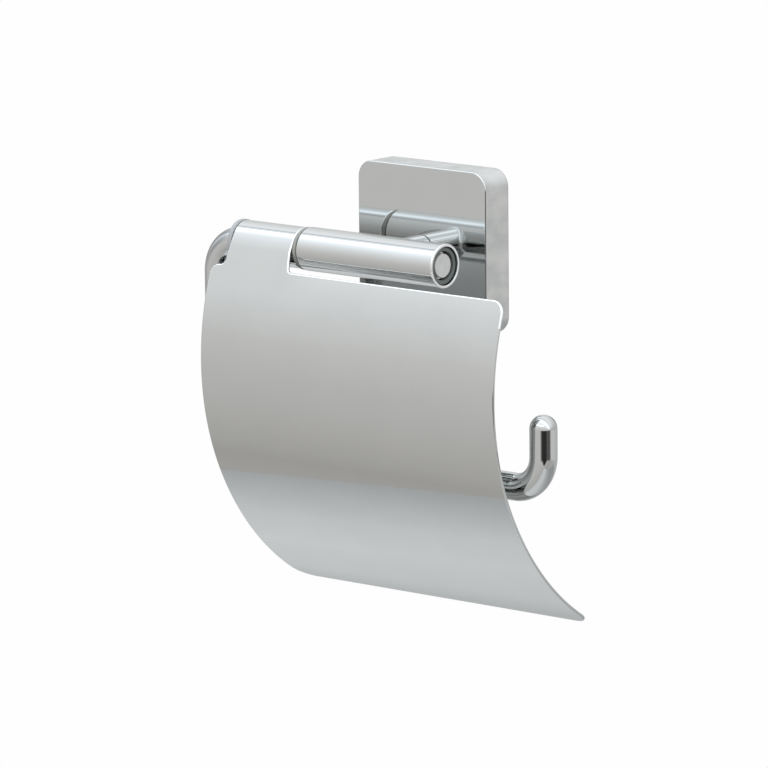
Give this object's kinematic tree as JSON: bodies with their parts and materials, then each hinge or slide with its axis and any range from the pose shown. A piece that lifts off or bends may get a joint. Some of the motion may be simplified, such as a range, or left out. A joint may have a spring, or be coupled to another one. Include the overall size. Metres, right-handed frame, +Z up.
{
  "type": "toilet paper holder",
  "caption": "Wall-mounted chrome toilet paper holder: square rosette, round cross tube, bent roll rod with an upturned hook end, and a curved sheet lid that swings up on the rod.",
  "frame": {"origin": "middle of the wall bracket's back face, on the wall plane", "axes": "+Y into the wall, -Y out into the room, +X to the right when facing the wall, +Z up"},
  "size_m": [0.163, 0.0568, 0.1614],
  "materials": {
    "polished_chrome": "mirror polished",
    "cast_zinc": "as cast zinc alloy",
    "screw_steel": "bright stainless steel",
    "grey_plastic": "matt moulded",
    "pale_plastic": "matt moulded"
  },
  "bodies": {
    "holder": {"wall_bracket": "cast_zinc", "rosette": "polished_chrome", "rosette_grub_screw": "screw_steel", "arm_washer": "screw_steel", "arm_screw": "screw_steel", "locating_pin": "screw_steel", "arm": "polished_chrome", "tube_bush_left": "grey_plastic", "tube_bush_right": "grey_plastic", "rod_grub_screw": "screw_steel", "roll_rod": "polished_chrome", "rod_end_cap": "pale_plastic", "spacer_ring": "pale_plastic", "thrust_ring": "pale_plastic"},
    "lid": {"lid": "polished_chrome", "hinge_bush_left": "grey_plastic", "hinge_bush_right": "grey_plastic"}
  },
  "joints": [
    {"name": "lid_hinge", "type": "hinge", "parent": "holder", "child": "lid", "pos_m": [-0.04835, -0.038, 0], "axis": [-1, 0, 0], "range_deg": [0, 188]}
  ]
}
